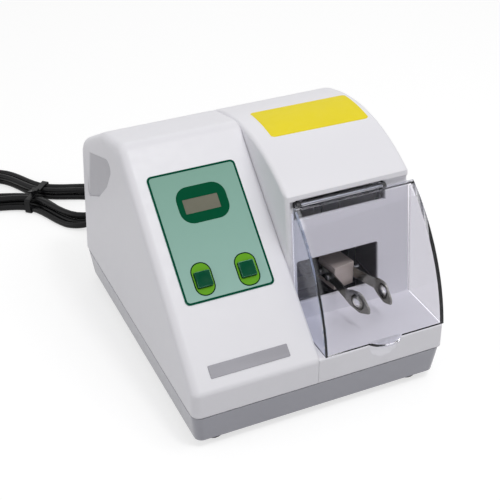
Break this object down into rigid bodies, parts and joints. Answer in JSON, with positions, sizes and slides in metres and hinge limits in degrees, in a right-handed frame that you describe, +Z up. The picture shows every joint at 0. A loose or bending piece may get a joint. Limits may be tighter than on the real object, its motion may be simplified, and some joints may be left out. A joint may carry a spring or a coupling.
{
  "type": "dental amalgamator",
  "caption": "Bench mixer that shakes a capsule in a spring fork behind a hinged clear cover, with a sloping control face and a mains lead.",
  "frame": {"origin": "on the bench, in the middle of the footprint that runs from the pull tab in front to the end of the strain relief at the rear", "axes": "+X to the right of someone who faces the control face, +Y to the rear, +Z up from the bench"},
  "size_m": [0.3043, 0.4947, 0.1909],
  "materials": {
    "housing_plastic": "light grey-white moulded plastic, satin",
    "base_plastic": "mid grey moulded plastic, satin",
    "foot_rubber": "black rubber",
    "steel": "zinc plated or ground steel",
    "spring_steel": "spring steel strip",
    "panel_green": "printed film, satin",
    "display_window": "smoked display window",
    "button_green": "dark green moulded button",
    "clear_acrylic": "clear acrylic",
    "dark_plastic": "black moulded plastic",
    "board": "circuit board laminate",
    "frame_iron": "black painted metal",
    "motor_cap": "die cast aluminium",
    "rotor": "laminated rotor",
    "arm_metal": "dark cast alloy",
    "block_nylon": "pinkish grey clamp block",
    "guide_nylon": "natural nylon",
    "cord_black": "black cable jacket",
    "plated_brass": "nickel plated brass"
  },
  "bodies": {
    "case": {"base_tray": "base_plastic", "upper_housing": "housing_plastic", "rubber_feet": "foot_rubber", "case_screws": "steel", "membrane_panel": "panel_green", "display_window": "display_window", "lcd_module": "dark_plastic", "control_board": "board", "board_screws": "steel", "tact_switches": "dark_plastic", "hinge_pin": "steel", "hinge_blocks": "housing_plastic", "cover_switch": "dark_plastic", "drive_frame": "frame_iron", "frame_isolators": "foot_rubber", "motor_stator": "frame_iron", "motor_end_caps": "motor_cap", "shaft_bearings": "steel", "arm_guide": "guide_nylon", "transformer": "frame_iron", "power_board": "board", "power_switch_body": "dark_plastic", "fuse_holder": "dark_plastic", "strain_relief": "cord_black", "mains_lead": "cord_black", "cord_hank": "cord_black", "cord_tail": "cord_black", "cord_tie": "cord_black", "plug_body": "cord_black", "plug_pins": "plated_brass"},
    "cover": {"clear_cover": "clear_acrylic"},
    "set_key": {"set_button": "button_green"},
    "start_key": {"start_button": "button_green"},
    "rotor": {"motor_rotor": "rotor", "motor_shaft": "steel", "skew_ball": "steel"},
    "fork_arm": {"swing_arm": "arm_metal", "arm_bearing": "steel", "fork_block": "block_nylon", "fork_screws": "steel"},
    "left_jaw": {"left_fork_blade": "spring_steel"},
    "right_jaw": {"right_fork_blade": "spring_steel"},
    "rocker": {"power_rocker": "dark_plastic"}
  },
  "joints": [
    {"name": "cover_hinge", "type": "hinge", "parent": "case", "child": "cover", "pos_m": [0.045, -0.0833, 0.15684], "axis": [-1, 0, 0], "range_deg": [0, 65]},
    {"name": "set_press", "type": "slide", "parent": "case", "child": "set_key", "axis": [0, 0.6626, -0.749], "range_m": [0, 0.001], "stiffness_N_per_m": 1500, "springref_m": -0.0005},
    {"name": "start_press", "type": "slide", "parent": "case", "child": "start_key", "axis": [0, 0.6626, -0.749], "range_m": [0, 0.001], "stiffness_N_per_m": 1500, "springref_m": -0.0005},
    {"name": "shaft_spin", "type": "hinge", "parent": "case", "child": "rotor", "pos_m": [0.0417, -0.04412, 0.082], "axis": [1, 0, 0], "continuous": true},
    {"name": "fork_swing", "type": "hinge", "parent": "case", "child": "fork_arm", "pos_m": [0.0417, -0.04412, 0.082], "axis": [0, 0, 1], "range_deg": [-19.4, 0]},
    {"name": "left_jaw_flex", "type": "hinge", "parent": "fork_arm", "child": "left_jaw", "pos_m": [0.03932, -0.08876, 0.082], "axis": [0, 0, -1], "range_deg": [0, 3], "stiffness_Nm_per_rad": 12, "springref_deg": -0.57},
    {"name": "right_jaw_flex", "type": "hinge", "parent": "fork_arm", "child": "right_jaw", "pos_m": [0.05878, -0.08543, 0.082], "axis": [0, 0, 1], "range_deg": [0, 3], "stiffness_Nm_per_rad": 12, "springref_deg": -0.57},
    {"name": "power_rock", "type": "hinge", "parent": "case", "child": "rocker", "pos_m": [0.07, 0.11841, 0.06195], "axis": [1, 0, 0], "range_deg": [-18, 0]}
  ]
}
